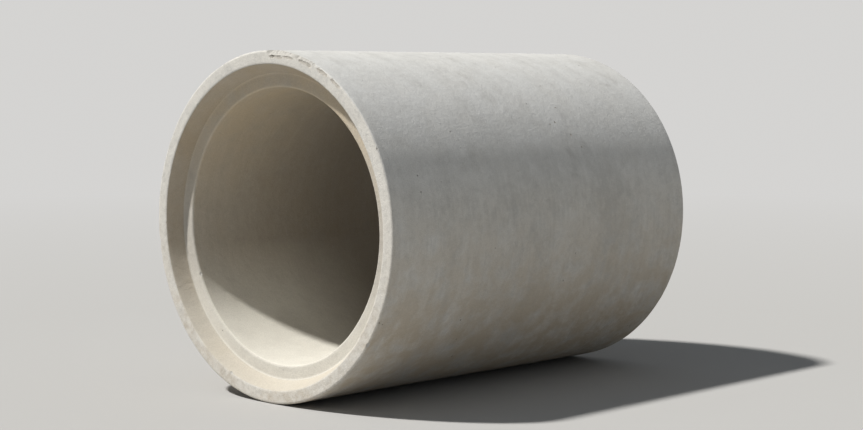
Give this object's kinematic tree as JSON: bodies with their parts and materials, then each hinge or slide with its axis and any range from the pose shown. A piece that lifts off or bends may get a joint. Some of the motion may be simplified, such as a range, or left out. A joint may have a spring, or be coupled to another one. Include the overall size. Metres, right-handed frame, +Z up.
{
  "type": "concrete culvert pipe",
  "caption": "Round concrete culvert pipe with a plain bore, a groove turned into one end and a matching tongue on the other.",
  "frame": {"origin": "on the ground, under the middle of the pipe's whole length, as the pipe lies on its side", "axes": "+X along the pipe's axis from the groove end to the tongue end; +Z up"},
  "size_m": [1.033, 0.774, 0.7739],
  "materials": {
    "concrete": "grey cast concrete, matt, with a pale floury bloom, faint rings from the mould and small pores"
  },
  "bodies": {
    "root": {"concrete_pipe": "concrete"}
  },
  "joints": []
}
